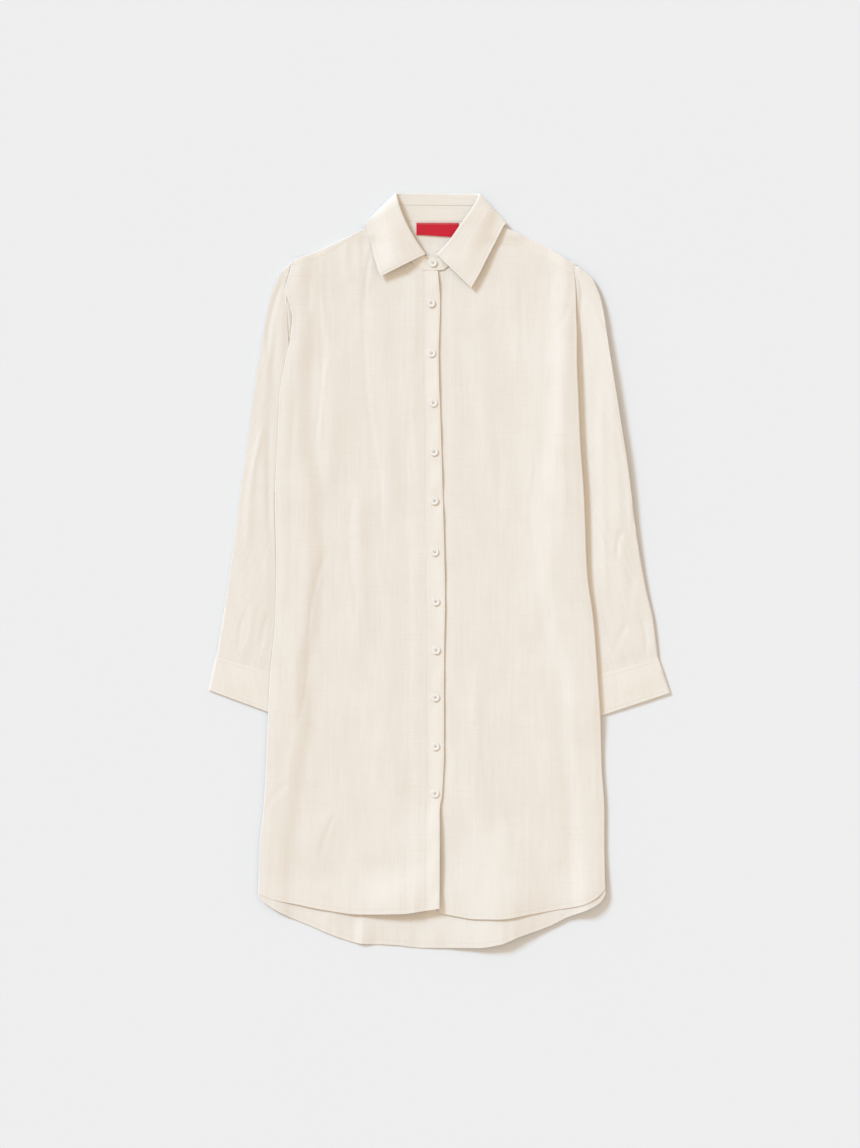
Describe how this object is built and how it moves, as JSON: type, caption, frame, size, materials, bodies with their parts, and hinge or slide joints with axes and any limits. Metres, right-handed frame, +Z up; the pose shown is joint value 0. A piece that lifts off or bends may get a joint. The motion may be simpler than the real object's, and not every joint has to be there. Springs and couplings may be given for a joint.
{
  "type": "long shirt",
  "caption": "Long linen shirt laid flat, buttoned down the front, with a pointed collar, long cuffed sleeves and a longer rounded back hem.",
  "frame": {"origin": "centre of the bounding box on the surface that the shirt lies on", "axes": "+Y from the hem to the collar, +X to the right of someone looking down at the buttons, +Z up, the way the front faces"},
  "size_m": [0.647, 1.0566, 0.0128],
  "materials": {
    "linen": "cream linen, plain weave with slubs, soft and matt",
    "linen_doubled": "the same linen, doubled and stitched near its edges",
    "label": "plain red woven tape with no lettering",
    "button": "off-white with a soft pearly gloss"
  },
  "bodies": {
    "root": {"back": "linen", "band_over": "linen_doubled", "band_under": "linen_doubled", "button_01": "button", "button_02": "button", "button_03": "button", "button_04": "button", "button_05": "button", "button_06": "button", "button_07": "button", "button_08": "button", "button_09": "button", "button_10": "button", "button_11": "button", "button_stand": "button", "collar_fall": "linen_doubled", "collar_stand": "linen_doubled", "cuff_left": "linen_doubled", "cuff_right": "linen_doubled", "front_over": "linen", "front_under": "linen", "label": "label", "sleeve_left": "linen", "sleeve_right": "linen", "yoke": "linen"}
  },
  "joints": []
}
